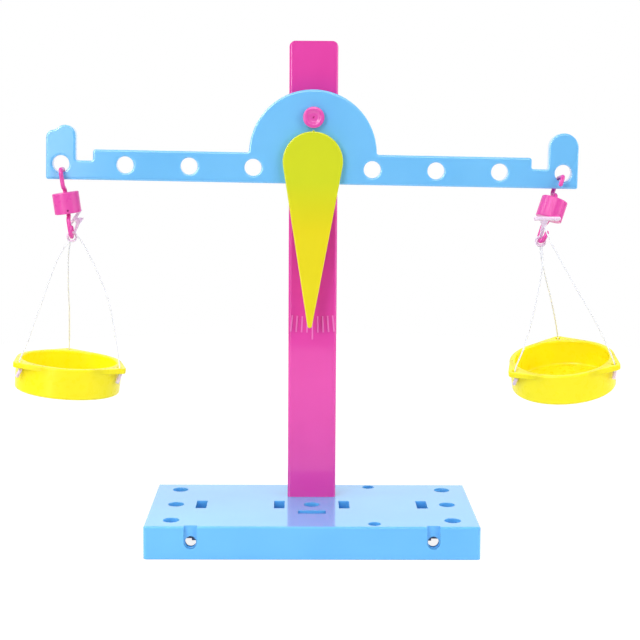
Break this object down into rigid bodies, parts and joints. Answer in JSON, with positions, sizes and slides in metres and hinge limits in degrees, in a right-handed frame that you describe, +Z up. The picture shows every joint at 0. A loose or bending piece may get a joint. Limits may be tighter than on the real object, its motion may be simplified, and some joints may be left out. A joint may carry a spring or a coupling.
{
  "type": "toy lever balance",
  "caption": "Toy lever balance: ribbed base with peg sockets, upright column, pivoting drilled beam, pointer, and pans hung on filaments from hooked weights.",
  "frame": {"origin": "centre of the base's footprint, on the floor", "axes": "+X to the right along the beam, +Y away from the front, +Z up"},
  "size_m": [0.2865, 0.0751, 0.2338],
  "materials": {
    "blue_plastic": "glossy",
    "pink_plastic": "glossy",
    "pointer_plastic": "glossy, slightly translucent",
    "yellow_plastic": "glossy, slightly translucent",
    "clear_nylon": "clear"
  },
  "bodies": {
    "stand": {"base": "blue_plastic", "column": "pink_plastic", "pivot_pin": "pink_plastic"},
    "rocker": {"beam": "blue_plastic", "pointer": "pointer_plastic"},
    "left_hook": {"left_weight": "pink_plastic"},
    "right_hook": {"right_weight": "pink_plastic"},
    "left_hanger": {"left_hanger_tag": "clear_nylon", "left_outer_filament": "clear_nylon", "left_back_filament": "clear_nylon", "left_inner_filament": "clear_nylon", "left_outer_toggle": "clear_nylon", "left_back_toggle": "clear_nylon", "left_inner_toggle": "clear_nylon", "left_pan": "yellow_plastic"},
    "right_hanger": {"right_hanger_tag": "clear_nylon", "right_outer_filament": "clear_nylon", "right_back_filament": "clear_nylon", "right_inner_filament": "clear_nylon", "right_outer_toggle": "clear_nylon", "right_back_toggle": "clear_nylon", "right_inner_toggle": "clear_nylon", "right_pan": "yellow_plastic"}
  },
  "joints": [
    {"name": "beam_rock", "type": "hinge", "parent": "stand", "child": "rocker", "pos_m": [0, 0.0097, 0.198], "axis": [0, 1, 0], "range_deg": [-15, 25]},
    {"name": "left_weight_swing", "type": "hinge", "parent": "rocker", "child": "left_hook", "pos_m": [-0.11832, 0.0097, 0.17295], "axis": [0, 1, 0], "range_deg": [-25, 15]},
    {"name": "right_weight_swing", "type": "hinge", "parent": "rocker", "child": "right_hook", "pos_m": [0.11765, 0.0097, 0.17021], "axis": [0, 1, 0], "range_deg": [-25, 15]},
    {"name": "left_pan_swing", "type": "hinge", "parent": "left_hook", "child": "left_hanger", "pos_m": [-0.11384, 0.0097, 0.14106], "axis": [0, 1, 0], "range_deg": [0, 20]},
    {"name": "right_pan_swing", "type": "hinge", "parent": "right_hook", "child": "right_hanger", "pos_m": [0.10688, 0.003, 0.14061], "axis": [0, 1, 0], "range_deg": [-20, 0]}
  ],
  "couplings": [
    {"joint": "left_weight_swing", "follows": "beam_rock", "ratio": -1},
    {"joint": "right_weight_swing", "follows": "beam_rock", "ratio": -1}
  ]
}
